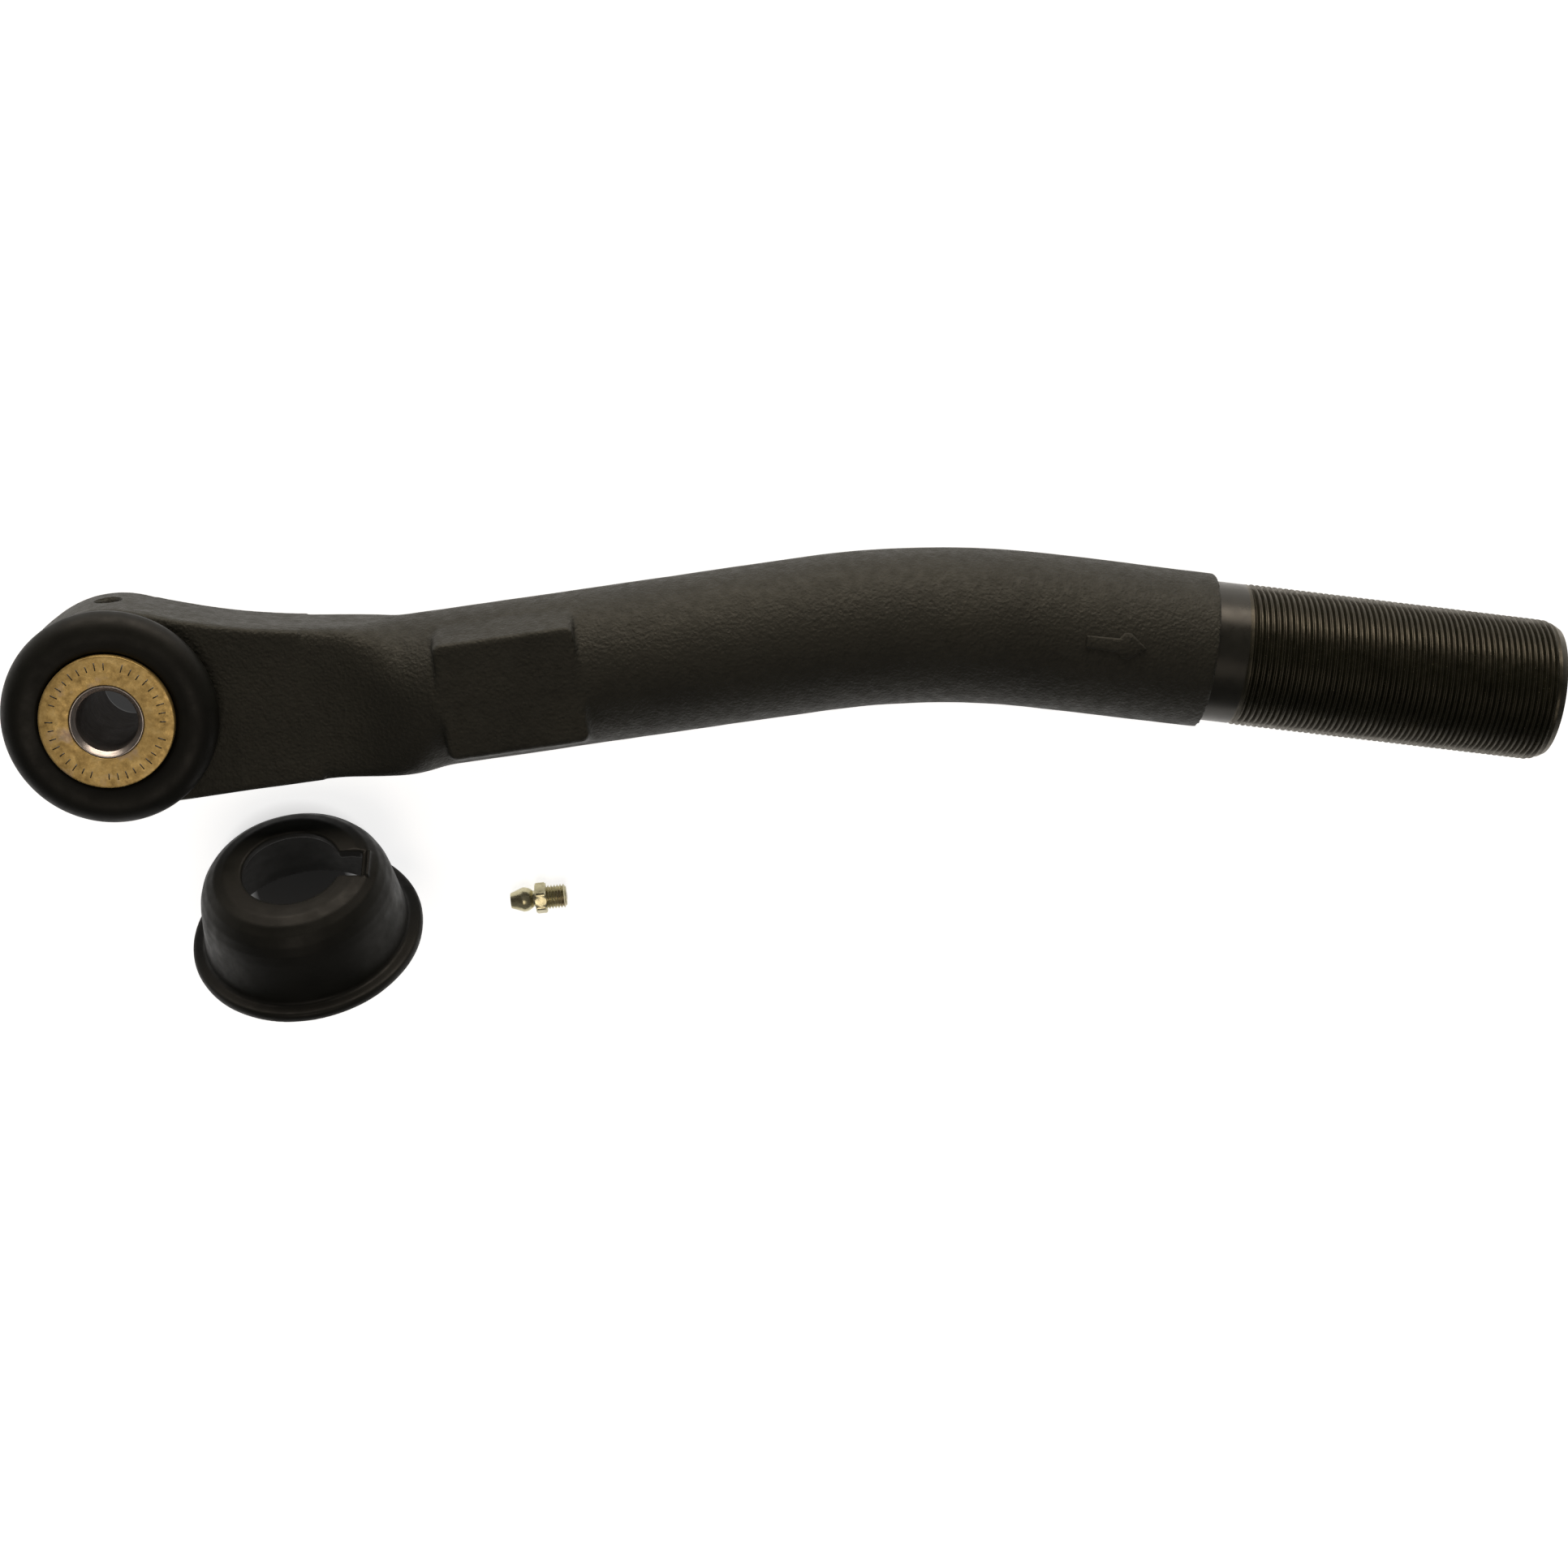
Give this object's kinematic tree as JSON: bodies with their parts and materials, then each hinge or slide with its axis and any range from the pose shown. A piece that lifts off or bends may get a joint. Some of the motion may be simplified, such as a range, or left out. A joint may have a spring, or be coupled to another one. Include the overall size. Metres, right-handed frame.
{
  "type": "tie rod end",
  "caption": "Bent steel steering rod end with a bored ball joint under a dust boot and a threaded shank, with a loose spare boot and grease fitting.",
  "frame": {"origin": "centre of the ball, on the axis of the sleeve's bore", "axes": "+Z along the sleeve's bore, out of the booted face; +X towards the end of the threaded shank, the rod's longest direction; +Y towards the convex side of the rod's bend"},
  "size_m": [0.3934, 0.1143, 0.0565],
  "materials": {
    "forged_steel": "satin black phosphate coating over a forged skin",
    "race_steel": "ground",
    "bearing_plastic": "moulded polymer",
    "spring_steel": "oiled",
    "sleeve_steel": "machined",
    "gold_zinc": "yellow zinc plate on steel",
    "rubber": "matte moulded",
    "ring_steel": "dark plated"
  },
  "bodies": {
    "housing": {"rod_forging": "forged_steel", "front_race": "race_steel", "rear_race": "race_steel", "disc_spring": "spring_steel", "cover_ring": "ring_steel", "snap_ring": "spring_steel", "front_boot": "rubber", "front_boot_clamp": "ring_steel"},
    "liners": {"front_liner": "bearing_plastic", "rear_liner": "bearing_plastic"},
    "lip": {"boot_lip_ring": "ring_steel"},
    "sleeve": {"ball_sleeve": "sleeve_steel", "seal_washer": "gold_zinc"},
    "spare_boot": {"loose_boot": "rubber", "loose_boot_ring": "ring_steel"},
    "fitting": {"fitting_body": "gold_zinc", "fitting_spring": "spring_steel", "fitting_spring_seat": "ring_steel"},
    "fitting_ball": {"fitting_check_ball": "race_steel"}
  },
  "joints": [
    {"name": "tilt_about_x", "type": "hinge", "parent": "housing", "child": "liners", "pos_m": [0, 0, 0], "axis": [1, 0, 0], "range_deg": [-12, 12], "deforming": ["front_boot"]},
    {"name": "tilt_about_y", "type": "hinge", "parent": "liners", "child": "lip", "pos_m": [0, 0, 0], "axis": [0, 1, 0], "range_deg": [-12, 12]},
    {"name": "sleeve_spin", "type": "hinge", "parent": "lip", "child": "sleeve", "pos_m": [0, 0, 0], "axis": [0, 0, 1], "continuous": true},
    {"name": "loose_boot_lift", "type": "slide", "parent": "housing", "child": "spare_boot", "axis": [0, 0, 1], "range_m": [0, 0.08]},
    {"name": "grease_fitting_lift", "type": "slide", "parent": "housing", "child": "fitting", "axis": [0, 0, 1], "range_m": [0, 0.08]},
    {"name": "check_ball_press", "type": "slide", "parent": "fitting", "child": "fitting_ball", "axis": [0.9959, 0.0906, 0], "range_m": [0, 0.0006], "stiffness_N_per_m": 400, "deforming": ["fitting_spring"]}
  ]
}
